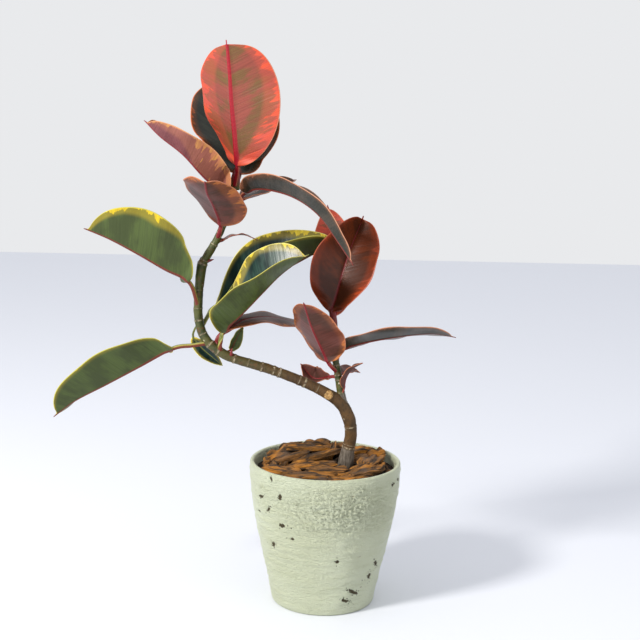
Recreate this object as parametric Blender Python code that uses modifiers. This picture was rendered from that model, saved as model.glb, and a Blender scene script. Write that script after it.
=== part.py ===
"""Potted rubber plant: a round tapered pot, soil with bark mulch, a bent stem, its side shoot and leaves.

Metres, +Z up. The origin is the centre of the pot's underside and -Y is the front. The plant's
points are in millimetres from the centre of the pot's rim plane, so it follows the pot.
"""
import math

import bmesh
import bpy
from mathutils import Vector, noise

MM = 0.001
CLEARANCE = 0.0003

POT_HEIGHT = 0.144
RIM_RADIUS = 0.075
FOOT_RADIUS = 0.0516
FOOT_EDGE = 0.003
POT_WALL = 0.0042
POT_FLOOR = 0.008
POT_BELLY = 1.3
POT_STEPS = 48

SOIL_BELOW_RIM = 0.0110
BARK_MARGIN = 0.004

STEM_GIRTH = 1.0
STEM_STEPS = 3

PETIOLE_RADIUS = 0.0023
LEAF_THICKNESS = 0.0010
LEAF_SIDES = 8
LEAF_TIP = 0.0012
LEAF_POINT = 0.04

RIM_PLANE = Vector((0, 0, POT_HEIGHT))

# x, y, height above the rim and radius, from the buried foot to the crown
MAIN_STEM = [
    (18, 5, -45, 7.4), (19, 5, -20, 8.0), (21, 5, -2, 7.8), (22, 5, 6, 7.0), (23, 5, 12, 6.2),
    (25, 4, 26, 6.0), (22, 3, 43, 6.3), (12, 2, 59, 6.0), (-12, -2, 74, 5.1), (-50, -7, 90, 4.8),
    (-87, -9, 101, 4.5), (-102, -9, 107, 4.7), (-115, -8, 116, 4.6), (-123, -6, 127, 4.5),
    (-127, -4, 143, 4.4), (-127, -3, 164, 4.3), (-124, -1, 192, 4.9), (-119, -1, 202, 4.0),
    (-107, 0, 224, 3.4), (-95, 2, 258, 3.1), (-93, 2, 268, 3.0),
]
SIDE_SHOOT = [
    (20, 3, 46, 4.5), (17, 3, 56, 4.4), (14, 4, 68, 4.0), (11, 4, 84, 3.6), (8, 4, 100, 3.5),
    (6, 4, 116, 3.3), (5, 5, 132, 3.1),
]

# Each leaf: petiole points from inside the stem, then the blade's midrib points, the ways its
# upper side faces from base to tip, its full width, where it is widest (lean under 1: nearer the
# base), how pointed its base and its tip are, the fold at base and tip and the curl of either half, in degrees.
GREEN = (0.055, 0.085, 0.03)
RUSSET = (0.16, 0.035, 0.02)
CORAL = (0.50, 0.11, 0.05)
MAUVE = (0.22, 0.10, 0.09)
LEAVES = {
    "leaf_crown_front": dict(
        petiole=[(-93, -1, 270), (-91, -4, 280)],
        blade=[(-90, -8, 290), (-92, -15, 316), (-95, -20, 347), (-97, -23, 376), (-100, -24, 406)],
        face=[(0.69, 0.71, 0.1), (0.34, 0.93, -0.1)],
        width=95, lean=1.08, blunt=(0.48, 0.32), fold=(12, 18), curl=(10, 7), colour=CORAL),
    "leaf_crown_back": dict(
        petiole=[(-93, 5, 270), (-91, 9, 276)],
        blade=[(-90, 18, 281), (-94, 34, 304), (-100, 51, 332), (-103, 66, 357), (-103, 76, 376)],
        face=[(0.28, -0.92, 0.27), (0.1, -0.95, 0.3)],
        width=100, lean=0.94, blunt=(0.5, 0.6), fold=(24, 22), curl=(10, 14), colour=RUSSET),
    "leaf_upper_left": dict(
        petiole=[(-98, 1, 250), (-99, 1, 258)],
        blade=[(-100, 2, 266), (-118, -4, 274), (-141, -14, 299), (-162, -22, 316), (-176, -28, 331)],
        face=[(0.62, 0.16, 0.77), (0.55, 0.17, 0.82)],
        width=60, lean=0.6, blunt=(0.5, 0.35), fold=(47, 41), curl=(8, 9), colour=MAUVE),
    "leaf_upper_front": dict(
        petiole=[(-110, -1, 216), (-107, -4, 225)],
        blade=[(-106, -5, 233), (-111, -25, 252), (-115, -48, 265), (-115, -72, 278)],
        face=[(0.51, 0.59, 0.63), (0.04, 0.08, 1.0)],
        width=67, lean=0.76, blunt=(0.8, 0.4), fold=(4, 20), curl=(5, 12), colour=MAUVE),
    "leaf_upper_right": dict(
        petiole=[(-95, 2, 252), (-90, 8, 255)],
        blade=[(-86, 12, 257), (-72, 30, 260), (-55, 50, 266), (-35, 66, 274)],
        face=[(-0.4, -0.5, 0.7), (-0.2, -0.46, 0.87)],
        width=42, lean=1.0, blunt=(0.55, 0.55), fold=(12, 18), curl=(8, 10), colour=RUSSET),
    "leaf_drooping": dict(
        petiole=[(-95, 1, 250), (-89, -3, 258)],
        blade=[(-81, -8, 265), (-64, -24, 269), (-36, -48, 264), (-12, -72, 250), (7, -88, 226),
               (21, -98, 207)],
        face=[(-0.18, 0.3, 0.94), (0.5, -0.08, 0.85), (0.4, 0.3, 0.87), (0.5, 0.5, 0.7)],
        width=48, lean=0.68, blunt=(0.5, 0.5), fold=(30, 25), curl=(0, 5), colour=RUSSET),
    "leaf_left": dict(
        petiole=[(-126, -3, 148), (-129, -7, 160)],
        blade=[(-136, -12, 178), (-158, -18, 190), (-183, -24, 205), (-209, -28, 219), (-233, -30, 229)],
        face=[(0.36, 0.59, 0.72), (0.28, 0.69, 0.67)],
        width=93, lean=1.04, blunt=(0.5, 0.5), fold=(28, 32), curl=(8, 8), colour=GREEN),
    "leaf_low_left": dict(
        petiole=[(-120, -7, 113), (-132, -11, 115)],
        blade=[(-151, -14, 112), (-182, -20, 95), (-215, -26, 77), (-243, -30, 62), (-264, -32, 46)],
        face=[(-0.3, 0.5, 0.8)],
        width=76, lean=0.95, blunt=(0.5, 0.5), fold=(26, 22), curl=(8, 8), colour=GREEN),
    "leaf_trough_back": dict(
        petiole=[(-123, -4, 131), (-119, 8, 141)],
        blade=[(-114, 29, 147), (-82, 37, 165), (-48, 31, 184), (-19, 25, 201), (8, 20, 216)],
        face=[(-0.43, -0.65, 0.62), (0.03, 0.04, 1.0)],
        width=85, lean=1.05, blunt=(1.05, 0.4), fold=(60, 42), curl=(11, 14), colour=GREEN),
    "leaf_trough_front": dict(
        petiole=[(-106, -9, 106), (-105, -13, 114), (-104, -14, 122)],
        blade=[(-101, -12, 130), (-82, -20, 150), (-64, -26, 170), (-45, -30, 190), (-20, -32, 209)],
        face=[(-0.12, -0.04, 0.99), (-0.32, -0.4, 0.86)],
        width=89, lean=0.81, blunt=(0.55, 0.4), fold=(33, 40), curl=(4, 6), colour=GREEN),
    "leaf_low_middle": dict(
        petiole=[(-108, -9, 109), (-109, -5, 119), (-104, -4, 126)],
        blade=[(-97, -4, 130), (-82, 2, 139), (-58, 10, 141), (-32, 18, 134), (-10, 24, 121)],
        face=[(-0.0, -0.14, 0.99), (-0.0, -0.09, 1.0)],
        width=46, lean=0.95, blunt=(0.8, 0.5), fold=(4, 0), curl=(-7, -9), colour=MAUVE),
    "leaf_young_red": dict(
        petiole=[(-113, 0, 213), (-108, 3, 216)],
        blade=[(-105, 6, 217), (-96, 10, 221), (-84, 12, 222), (-71, 12, 217)],
        face=[(0, 0.1, 1)],
        width=26, lean=0.9, blunt=(0.6, 0.6), fold=(2, 2), curl=(-2, -2), colour=RUSSET),
    "leaf_by_bend": dict(
        petiole=[(-103, -8, 108), (-99, -2, 108)],
        blade=[(-96, 0, 109), (-93, 3, 114), (-89, 5, 123), (-84, 6, 132)],
        face=[(0.5, -0.8, 0.3)],
        width=14, lean=0.7, blunt=(0.6, 0.6), fold=(30, 30), curl=(5, 5), colour=GREEN),
    "leaf_behind_bend": dict(
        petiole=[(-127, -3, 137), (-131, 3, 129)],
        blade=[(-133, 6, 120), (-125, 9, 109), (-115, 10, 100), (-104, 10, 91)],
        face=[(-0.3, -0.8, 0.5)],
        width=16, lean=0.8, blunt=(0.6, 0.6), fold=(15, 15), curl=(5, 5), colour=GREEN),
    "leaf_shoot_top": dict(
        petiole=[(5, 2, 134), (5, 2, 140)],
        blade=[(3, 6, 148), (7, 8, 163), (13, 14, 186), (20, 22, 208), (33, 34, 241)],
        face=[(-0.13, -0.6, 0.8), (0.3, -0.94, 0.16)],
        width=75, lean=0.98, blunt=(0.65, 0.4), fold=(18, 43), curl=(11, 12), colour=RUSSET),
    "leaf_shoot_back": dict(
        petiole=[(5, 8, 134), (6, 10, 138)],
        blade=[(6, 16, 143), (8, 31, 173), (4, 43, 207), (-3, 55, 250)],
        face=[(0.1, -1, 0.2)],
        width=47, lean=1.0, blunt=(0.55, 0.55), fold=(12, 12), curl=(5, 5), colour=CORAL),
    "leaf_shoot_front": dict(
        petiole=[(9, 4, 88), (4, -2, 95)],
        blade=[(0, -4, 101), (-9, -16, 121), (-17, -30, 141), (-24, -46, 165)],
        face=[(0.51, 0.7, 0.51), (0.34, 0.71, 0.61)],
        width=56, lean=0.75, blunt=(0.55, 0.45), fold=(15, 13), curl=(6, 8), colour=MAUVE),
    "leaf_shoot_right": dict(
        petiole=[(7, 4, 97), (11, 1, 107)],
        blade=[(16, 0, 113), (36, -14, 122), (64, -26, 130), (97, -36, 136), (121, -42, 134)],
        face=[(-0.06, 0.36, 0.93), (-0.06, 0.39, 0.92)],
        width=50, lean=0.85, blunt=(0.65, 0.35), fold=(9, 5), curl=(7, 5), colour=RUSSET),
    "leaf_shoot_small_left": dict(
        petiole=[(11, 4, 82), (7, 7, 83)],
        blade=[(3, 10, 82), (-5, 15, 79), (-15, 20, 79), (-27, 24, 92)],
        face=[(0, -0.7, 0.6)],
        width=26, lean=0.95, blunt=(0.6, 0.6), fold=(40, 40), curl=(5, 5), colour=MAUVE),
    "leaf_shoot_small_right": dict(
        petiole=[(14, 3, 66), (16, 1, 69)],
        blade=[(17, 0, 73), (19, -3, 84), (25, -6, 94), (35, -10, 101)],
        face=[(-0.6, 0.2, 0.8)],
        width=15, lean=0.8, blunt=(0.6, 0.6), fold=(25, 25), curl=(5, 5), colour=RUSSET),
    "leaf_shoot_small_back": dict(
        petiole=[(11, 5, 80), (12, 10, 82)],
        blade=[(13, 13, 84), (18, 20, 85), (25, 30, 84), (34, 38, 81)],
        face=[(0, -0.4, 1)],
        width=20, lean=0.9, blunt=(0.6, 0.6), fold=(20, 20), curl=(5, 5), colour=MAUVE),
}

# Each chip: share of the way to the wall, bearing in degrees, length, width and thickness in
# millimetres for a mouth of 140 mm, and heading in degrees
BARK_MOUTH = 0.070
BARK_CHIPS = [
    (0.70, 151, 40, 20, 16, 40), (0.66, 104, 38, 17, 17, -8), (0.84, 190, 26, 14, 9, 98),
    (0.33, 130, 42, 11, 11, 22), (0.30, 192, 42, 11, 9, 14), (0.72, 220, 30, 16, 8, -30),
    (0.70, 262, 38, 18, 8, -4), (0.28, 258, 30, 12, 9, 6), (0.66, 313, 34, 18, 9, 20),
    (0.88, 294, 22, 8, 7, 18), (0.78, 352, 28, 15, 10, 78), (0.74, 24, 26, 16, 15, 50),
    (0.69, 60, 30, 14, 10, -28), (0.62, 178, 12, 8, 8, 75),
]


def clear_scene():
    for old in list(bpy.data.objects):
        bpy.data.objects.remove(old, do_unlink=True)


def new_collection(name):
    made = bpy.data.collections.new(name)
    bpy.context.scene.collection.children.link(made)
    return made


def new_material(name, colour, roughness):
    made = bpy.data.materials.new(name)
    made.use_nodes = True
    surface = made.node_tree.nodes["Principled BSDF"]
    surface.inputs["Base Color"].default_value = (*colour, 1)
    surface.inputs["Roughness"].default_value = roughness
    surface.inputs["Metallic"].default_value = 0
    return made


def new_object(name, data, collection, colour=(0.5, 0.5, 0.5), roughness=0.5):
    made = bpy.data.objects.new(name, data)
    made.data.materials.append(new_material(name, colour, roughness))
    collection.objects.link(made)
    return made


def from_bmesh(name, shape, collection, colour, roughness):
    bmesh.ops.recalc_face_normals(shape, faces=shape.faces)
    mesh = bpy.data.meshes.new(name)
    shape.to_mesh(mesh)
    shape.free()
    mesh.shade_smooth()
    return new_object(name, mesh, collection, colour, roughness)


def cut(target, cutter):
    joint = target.modifiers.new("cut", "BOOLEAN")
    joint.object = cutter
    joint.operation = "DIFFERENCE"
    joint.solver = "EXACT"


class Line:
    """A smooth line through a few points, read by the distance along it."""

    def __init__(self, points, steps=8):
        ends = [points[0] * 2 - points[1], *points, points[-1] * 2 - points[-2]]
        self.points = []
        for a, b, c, d in zip(ends, ends[1:], ends[2:], ends[3:]):
            for step in range(steps):
                t = step / steps
                self.points.append(
                    (b * 2 + (c - a) * t + (a * 2 - b * 5 + c * 4 - d) * t**2
                     + (b * 3 - a - c * 3 + d) * t**3) / 2)
        self.points.append(points[-1])
        self.marks = [0.0]
        for a, b in zip(self.points, self.points[1:]):
            self.marks.append(self.marks[-1] + (b - a).length)
        self.length = self.marks[-1]

    def at(self, distance):
        distance = min(max(distance, 0.0), self.length)
        for i, mark in enumerate(self.marks[1:]):
            if distance <= mark:
                share = (distance - self.marks[i]) / (mark - self.marks[i])
                return self.points[i].lerp(self.points[i + 1], share)
        return self.points[-1]

    def heading(self, distance):
        reach = self.length * 0.01
        return (self.at(distance + reach) - self.at(distance - reach)).normalized()


def pot_radius(height):
    rise = math.sin(math.pi / 2 * min(max(height / POT_HEIGHT, 0), 1)) ** POT_BELLY
    return FOOT_RADIUS + (RIM_RADIUS - FOOT_RADIUS) * rise


def turned(name, profile, collection, colour, roughness):
    """A profile of (radius, height) points, run down its outer side, turned about the Z axis."""
    shape = bmesh.new()
    points = [shape.verts.new((radius, 0, height)) for radius, height in profile]
    for a, b in zip(points, points[1:]):
        shape.edges.new((a, b))
    mesh = bpy.data.meshes.new(name)
    shape.to_mesh(mesh)
    shape.free()
    made = new_object(name, mesh, collection, colour, roughness)
    screw = made.modifiers.new("turn", "SCREW")
    screw.steps = POT_STEPS
    screw.render_steps = POT_STEPS
    screw.use_merge_vertices = True
    screw.merge_threshold = 0.00005
    screw.use_smooth_shade = True
    return made


def arc(centre, radius, start, end, steps):
    """Points on an arc in the profile's plane, with angles in degrees from the outward direction."""
    angles = [math.radians(start + (end - start) * i / steps) for i in range(steps + 1)]
    return [(centre[0] + radius * math.cos(a), centre[1] + radius * math.sin(a)) for a in angles]


def make_pot(collection):
    half = POT_WALL / 2
    lip = arc((RIM_RADIUS - half, POT_HEIGHT - half), half, 180, 0, 8)
    heights = [POT_HEIGHT * i / 10 for i in range(9, 0, -1)]
    outer = [(pot_radius(z), z) for z in heights if z > FOOT_EDGE]
    foot = arc((FOOT_RADIUS - FOOT_EDGE, FOOT_EDGE), FOOT_EDGE, 0, -90, 4)
    inner = [(pot_radius(z) - POT_WALL, z) for z in reversed(heights) if z > POT_FLOOR]
    floor = [(0, POT_FLOOR), (pot_radius(POT_FLOOR) - POT_WALL, POT_FLOOR)]
    profile = [*lip, *outer, *foot, (0, 0)]
    return turned("pot", [*floor, *inner, *profile], collection, (0.62, 0.70, 0.50), 0.45)


def make_soil(collection, stem_cutter):
    """The potting mix fills the pot from its floor, and the stem's foot stands in it."""
    gap = POT_WALL + CLEARANCE
    top = POT_HEIGHT - SOIL_BELOW_RIM
    bottom = POT_FLOOR + CLEARANCE
    steps = 8
    heights = [top + (bottom - top) * i / steps for i in range(steps + 1)]
    side = [(pot_radius(z) - gap - wall_sag(z), z) for z in heights]
    soil = turned("soil", [(0, top), *side, (0, bottom)], collection, (0.03, 0.02, 0.012), 0.95)
    cut(soil, stem_cutter)
    return soil


def wall_sag(height):
    """How far a flat facet of the turned wall lies inside its circle."""
    return pot_radius(height) * (1 - math.cos(math.pi / POT_STEPS))


def plant_point(point):
    return RIM_PLANE + Vector(point[:3]) * MM


def stem_curve(name, stem, extra, collection, colour):
    """A round tube along the stem's points, its radius grown by extra."""
    line = bpy.data.curves.new(name, "CURVE")
    line.dimensions = "3D"
    line.bevel_depth = MM
    line.bevel_resolution = 1
    line.use_fill_caps = True
    path = Line([plant_point(p) for p in stem], STEM_STEPS)
    girth = Line([Vector((p[3] * STEM_GIRTH, 0, 0)) for p in stem], STEM_STEPS)
    spline = line.splines.new("POLY")
    spline.points.add(len(path.points) - 1)
    spline.use_smooth = True
    for point, place, size in zip(spline.points, path.points, girth.points):
        point.co = (*place, 1)
        point.radius = size.x + extra / MM
    return new_object(name, line, collection, colour, 0.6)


def as_mesh(source, collection):
    """A curve object made a closed mesh, its caps welded."""
    mesh = bpy.data.meshes.new_from_object(source.evaluated_get(bpy.context.evaluated_depsgraph_get()))
    shape = bmesh.new()
    shape.from_mesh(mesh)
    bmesh.ops.remove_doubles(shape, verts=shape.verts, dist=0.00001)
    bmesh.ops.recalc_face_normals(shape, faces=shape.faces)
    shape.to_mesh(mesh)
    shape.free()
    name = source.name
    made = bpy.data.objects.new(name, mesh)
    made.matrix_world = source.matrix_world
    collection.objects.link(made)
    bpy.data.objects.remove(source, do_unlink=True)
    made.name = name
    return made


def make_stem(name, stem, collection, colour):
    tube = stem_curve(name, stem, 0, collection, colour)
    return as_mesh(tube, collection)


def stem_cutter(name, stem, cutters):
    """The stem grown by the clearance, which shapes the seat of what grows from it."""
    cutter = as_mesh(stem_curve(name, stem, CLEARANCE, cutters, (1, 0, 0)), cutters)
    cutter.hide_render = True
    cutter.display_type = "WIRE"
    return cutter


def ease(value):
    value = min(max(value, 0.0), 1.0)
    return value * value * (3 - 2 * value)


def along(values, share):
    """The value at a share of the way through a list of vectors."""
    place = share * (len(values) - 1)
    index = min(int(place), max(len(values) - 2, 0))
    return values[index].lerp(values[min(index + 1, len(values) - 1)], place - index)


def blade_half_width(spec, share):
    """Half the blade's width at a share of its length from base to tip."""
    body = min(share / (1 - LEAF_POINT), 1)
    base, tip = spec["blunt"]
    round_part = max(math.sin(math.pi * body ** spec["lean"]), 0) ** (base + (tip - base) * body)
    return spec["width"] * MM / 2 * round_part


def leaf_section(spec, share, angle, stalk):
    """Where the edge of a leaf's cross-section lies, across and above the midrib."""
    side = math.cos(angle)
    reach = abs(side)
    half = max(blade_half_width(spec, share), stalk)
    flat = ease(share / 0.10)
    thick = stalk + (LEAF_THICKNESS / 2 - stalk) * flat
    fold = math.radians(spec["fold"][0] + (spec["fold"][1] - spec["fold"][0]) * share) * flat
    curl = math.radians(spec["curl"][0] if side < 0 else spec["curl"][1]) * flat + 1e-6
    turn = fold + curl * reach
    across = half * (math.sin(turn) - math.sin(fold)) / curl
    above = half * (math.cos(fold) - math.cos(turn)) / curl
    skin = thick * math.sin(angle)
    return math.copysign(across - skin * math.sin(turn), side), above + skin * math.cos(turn)


def make_leaf(name, spec, stem_line, collection, cutter):
    """A petiole and blade in one piece: a cylinder whose rings follow the midrib."""
    stalk = min(PETIOLE_RADIUS, spec["width"] * MM / 14)
    petiole = [plant_point(p) for p in spec["petiole"]]
    nearest = min(stem_line.points, key=lambda p: (p - petiole[0]).length)
    if nearest != stem_line.points[-1]:
        petiole[0] = nearest
    blade = [plant_point(p) for p in spec["blade"]]
    line = Line([*petiole, *blade])
    stalk_line = Line([*petiole, *blade], 1)
    blade_from = stalk_line.marks[len(petiole)] / stalk_line.length * line.length
    faces = [Vector(f).normalized() for f in spec["face"]]
    rows = (5, 15) if spec["width"] > 40 else (3, 9)
    shape = bmesh.new()
    bmesh.ops.create_cone(shape, cap_ends=True, segments=LEAF_SIDES, radius1=1, radius2=1, depth=1)
    sides = [e for e in shape.edges if abs(e.verts[0].co.z - e.verts[1].co.z) > 0.5]
    bmesh.ops.subdivide_edges(shape, edges=sides, cuts=sum(rows) - 1, use_grid_fill=True)
    for vert in shape.verts:
        row = round((vert.co.z + 0.5) * sum(rows))
        share = max(row - rows[0], 0) / rows[1]
        share = (share + (1 - math.cos(math.pi * share)) / 2) / 2
        distance = blade_from * min(row / rows[0], 1) + (line.length - blade_from) * share
        middle = line.at(distance)
        ahead = line.heading(distance)
        up = along(faces, share)
        up = (up - ahead * up.dot(ahead)).normalized()
        slim = stalk + (LEAF_TIP - stalk) * ease(share * 2)
        across, above = leaf_section(spec, share, math.atan2(vert.co.y, vert.co.x), slim)
        vert.co = middle + ahead.cross(up) * across + up * above
    # the two skins are split along the same diagonals, so that they stay a blade's thickness apart
    bmesh.ops.triangulate(shape, faces=shape.faces, quad_method="SHORT_EDGE")
    leaf = from_bmesh(name, shape, collection, spec["colour"], 0.35)
    cut(leaf, cutter)
    return leaf


def make_chip(number, spec, collection, cutter):
    """A rough flake of bark lying on the soil."""
    share, bearing, length, width, thickness, heading = spec
    mouth = pot_radius(POT_HEIGHT - SOIL_BELOW_RIM) - POT_WALL - BARK_MARGIN
    scale = mouth / BARK_MOUTH
    size = Vector((length * scale, width * scale, thickness)) * MM
    shape = bmesh.new()
    bmesh.ops.create_cube(shape, size=1)
    bmesh.ops.subdivide_edges(shape, edges=shape.edges, cuts=2, use_grid_fill=True)
    turn = math.radians(heading)
    around = math.radians(bearing)
    rest = POT_HEIGHT - SOIL_BELOW_RIM + CLEARANCE
    middle = Vector((mouth * share * math.cos(around), mouth * share * math.sin(around), rest))
    for vert in shape.verts:
        taper = 1 - 0.35 * abs(2 * vert.co.x) ** 2
        rough = noise.noise(vert.co * 3 + Vector((number * 7.3, 0, 0)))
        flat = vert.co.x * size.x
        wide = vert.co.y * size.y * (taper + 0.25 * rough)
        high = (vert.co.z + 0.5) * size.z * (0.8 + 0.4 * rough) * (0.6 + 0.4 * taper)
        vert.co = middle + Vector((flat * math.cos(turn) - wide * math.sin(turn),
                                   flat * math.sin(turn) + wide * math.cos(turn), high))
    chip = from_bmesh(f"bark_chip_{number:02d}", shape, collection, (0.16, 0.07, 0.025), 0.9)
    cut(chip, cutter)
    return chip


def make_plant():
    clear_scene()
    parts = new_collection("potted_rubber_plant")
    cutters = new_collection("cutters")
    cutters.hide_render = True
    main_cutter = stem_cutter("main_stem_seat", MAIN_STEM, cutters)
    shoot_cutter = stem_cutter("side_shoot_seat", SIDE_SHOOT, cutters)
    make_pot(parts)
    make_soil(parts, main_cutter)
    make_stem("main_stem", MAIN_STEM, parts, (0.10, 0.07, 0.03))
    shoot = make_stem("side_shoot", SIDE_SHOOT, parts, (0.08, 0.10, 0.03))
    cut(shoot, main_cutter)
    main_line = Line([plant_point(p) for p in MAIN_STEM])
    shoot_line = Line([plant_point(p) for p in SIDE_SHOOT])
    for name, spec in LEAVES.items():
        if name.startswith("leaf_shoot"):
            make_leaf(name, spec, shoot_line, parts, shoot_cutter)
        else:
            make_leaf(name, spec, main_line, parts, main_cutter)
    for number, spec in enumerate(BARK_CHIPS, start=1):
        make_chip(number, spec, parts, main_cutter)


make_plant()
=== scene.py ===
import math

import bmesh
import bpy
from mathutils import Matrix, Vector, noise


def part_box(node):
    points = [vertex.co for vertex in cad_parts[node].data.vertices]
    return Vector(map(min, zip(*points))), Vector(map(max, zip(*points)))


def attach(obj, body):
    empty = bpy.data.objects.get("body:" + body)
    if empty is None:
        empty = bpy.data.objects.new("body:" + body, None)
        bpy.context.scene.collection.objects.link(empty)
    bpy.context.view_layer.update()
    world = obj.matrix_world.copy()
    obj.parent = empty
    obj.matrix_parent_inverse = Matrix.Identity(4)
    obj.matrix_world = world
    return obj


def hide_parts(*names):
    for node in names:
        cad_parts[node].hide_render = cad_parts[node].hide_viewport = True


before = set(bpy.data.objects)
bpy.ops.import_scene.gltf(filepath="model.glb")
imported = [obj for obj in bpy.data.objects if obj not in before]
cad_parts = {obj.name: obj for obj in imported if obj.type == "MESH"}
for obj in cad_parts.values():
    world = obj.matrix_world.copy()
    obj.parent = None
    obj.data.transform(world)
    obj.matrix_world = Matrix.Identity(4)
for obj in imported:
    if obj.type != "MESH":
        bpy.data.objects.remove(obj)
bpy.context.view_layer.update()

# ---------------------------------------------------------------------------
# The viewpoint: a long lens at table height, looking slightly down at the plant.
# The frame leans a degree or so, so the pot stands a touch off the vertical.
CAMERA_PLACE = Vector((-0.0082, -1.203, 0.484))
CAMERA_DOWN = math.radians(9.4)
CAMERA_ROLL = math.radians(1.18)
LENS_MM = 70.0

ahead = Vector((0, math.cos(CAMERA_DOWN), -math.sin(CAMERA_DOWN)))
level_right = Vector((1, 0, 0))
level_up = level_right.cross(ahead)
right = level_right * math.cos(CAMERA_ROLL) + level_up * math.sin(CAMERA_ROLL)
up = level_up * math.cos(CAMERA_ROLL) - level_right * math.sin(CAMERA_ROLL)
camera_data = bpy.data.cameras.new("camera")
camera_data.lens = LENS_MM
camera_data.sensor_width = 36
camera = bpy.data.objects.new("camera", camera_data)
camera.matrix_world = Matrix.Translation(CAMERA_PLACE) @ Matrix((right, up, -ahead)).transposed().to_4x4()
bpy.context.scene.collection.objects.link(camera)
bpy.context.scene.camera = camera
bpy.context.scene.view_settings.view_transform = "Standard"

# ---------------------------------------------------------------------------
# The studio: a wide pale floor, an even pale surround and one large soft lamp from the
# upper left front, with a weak warm one from the right.
FLOOR_SIZE = 6.0
SURROUND = (0.97, 0.98, 1.0)


def pigment(red, green, blue):
    """A paint colour from 0 to 255 values, as the linear colour that shaders take."""
    return tuple((c / 255 / 12.92 if c <= 10 else ((c / 255 + 0.055) / 1.055) ** 2.4)
                 for c in (red, green, blue)) + (1.0,)


def place_lamp(name, place, aim, size, power, colour):
    lamp = bpy.data.lights.new(name, "AREA")
    lamp.shape = "DISK"
    lamp.size = size
    lamp.energy = power
    lamp.color = colour
    holder = bpy.data.objects.new(name, lamp)
    holder.location = place
    holder.rotation_euler = (Vector(aim) - Vector(place)).to_track_quat("-Z", "Y").to_euler()
    bpy.context.scene.collection.objects.link(holder)


surround = bpy.data.worlds.new("surround")
surround.use_nodes = True
surround.node_tree.nodes["Background"].inputs["Color"].default_value = (*SURROUND, 1)
surround.node_tree.nodes["Background"].inputs["Strength"].default_value = 0.84
bpy.context.scene.world = surround
place_lamp("window", (-1.45, -1.2, 1.4), (0, 0, 0.25), 0.4, 47, (1.0, 0.97, 0.91))
place_lamp("bounce", (1.6, -1.1, 0.7), (0, 0, 0.25), 1.2, 2.5, (1.0, 0.96, 0.88))

floor_mesh = bpy.data.meshes.new("floor")
shape = bmesh.new()
bmesh.ops.create_grid(shape, x_segments=1, y_segments=1, size=FLOOR_SIZE / 2)
shape.to_mesh(floor_mesh)
shape.free()
floor = bpy.data.objects.new("floor", floor_mesh)
bpy.context.scene.collection.objects.link(floor)
floor_paint = bpy.data.materials.new("floor_paint")
floor_paint.use_nodes = True
floor_paint.node_tree.nodes["Principled BSDF"].inputs["Base Color"].default_value = pigment(228, 231, 240)
floor_paint.node_tree.nodes["Principled BSDF"].inputs["Roughness"].default_value = 0.7
floor_mesh.materials.append(floor_paint)

# ---------------------------------------------------------------------------
# The pot: thick celadon stoneware, turned, with a smooth lip and inside. The outside is dragged
# into level streaks, crawled into small beads under the lip, and open pits show the dark clay.
POT_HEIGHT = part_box("pot")[1][2]
RIM_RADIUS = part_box("pot")[1][0]
FOOT_RADIUS = 0.0516
FOOT_EDGE = 0.003
POT_WALL = 0.0042
POT_FLOOR = 0.008
POT_BELLY = 1.3
POT_STEPS = 440
WALL_ROWS = 140
INNER_ROWS = 14
LIP_BAND = 0.0035
BEAD_BEARING = math.radians(-78)
# bearing from the front in degrees, height, length, width and slant of each pit
PITS = [
    (-57, 0.117, 0.0042, 0.0014, 0.3), (-35, 0.123, 0.0016, 0.0022, 0.1),
    (-48, 0.107, 0.0030, 0.0012, 0.9), (-35, 0.094, 0.0034, 0.0015, 0.1),
    (-48, 0.070, 0.0022, 0.0020, 0.6), (-62, 0.100, 0.0022, 0.0010, 0.0),
    (57, 0.049, 0.0042, 0.0016, -0.8), (51, 0.037, 0.0022, 0.0026, 0.2),
    (32, 0.024, 0.0060, 0.0014, -0.5), (24, 0.016, 0.0042, 0.0012, -0.3),
    (74, 0.131, 0.0034, 0.0014, -0.2), (62, 0.130, 0.0030, 0.0012, 0.0),
    (-44, 0.139, 0.0022, 0.0012, -0.9), (-26, 0.082, 0.0016, 0.0010, 0.0),
    (12, 0.060, 0.0018, 0.0014, 0.2), (118, 0.118, 0.0040, 0.0014, 0.2),
    (140, 0.060, 0.0034, 0.0016, -0.3), (163, 0.100, 0.0028, 0.0018, 0.5),
    (188, 0.034, 0.0048, 0.0014, -0.1), (205, 0.124, 0.0030, 0.0014, 0.1),
    (228, 0.084, 0.0036, 0.0018, 0.3), (250, 0.046, 0.0026, 0.0016, -0.4),
    (266, 0.112, 0.0034, 0.0012, 0.0), (100, 0.078, 0.0022, 0.0016, 0.4),
]


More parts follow.
